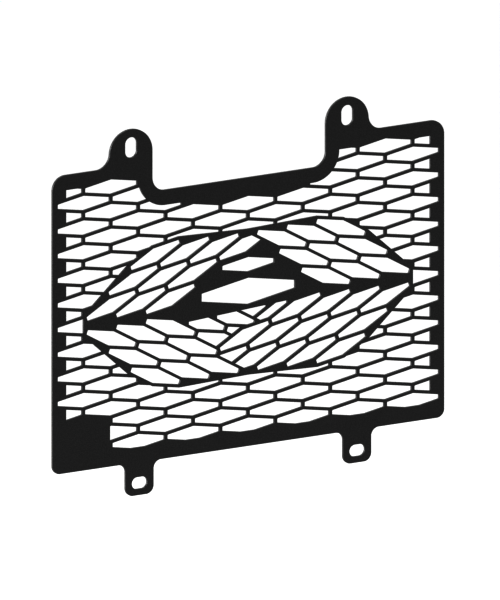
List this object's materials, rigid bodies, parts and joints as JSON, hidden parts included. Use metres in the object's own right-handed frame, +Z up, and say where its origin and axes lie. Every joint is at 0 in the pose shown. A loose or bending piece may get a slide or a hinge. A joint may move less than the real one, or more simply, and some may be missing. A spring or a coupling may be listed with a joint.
{
  "type": "motorcycle radiator guard",
  "caption": "Flat sheet guard for a motorcycle's radiator: a grille of long six-sided cells round a pointed middle field, with slotted ears above and slotted tabs below.",
  "frame": {"origin": "under the middle of the sheet's width, in the middle of its thickness, level with the lowest edge of the two tabs", "axes": "+X along the sheet's width, to the right for someone who looks at the front face; +Y through the sheet, from the front face towards the radiator; +Z up"},
  "size_m": [0.264, 0.0016, 0.2217],
  "materials": {
    "black_coat": "satin black powder coat"
  },
  "bodies": {
    "root": {"guard_plate": "black_coat"}
  },
  "joints": []
}
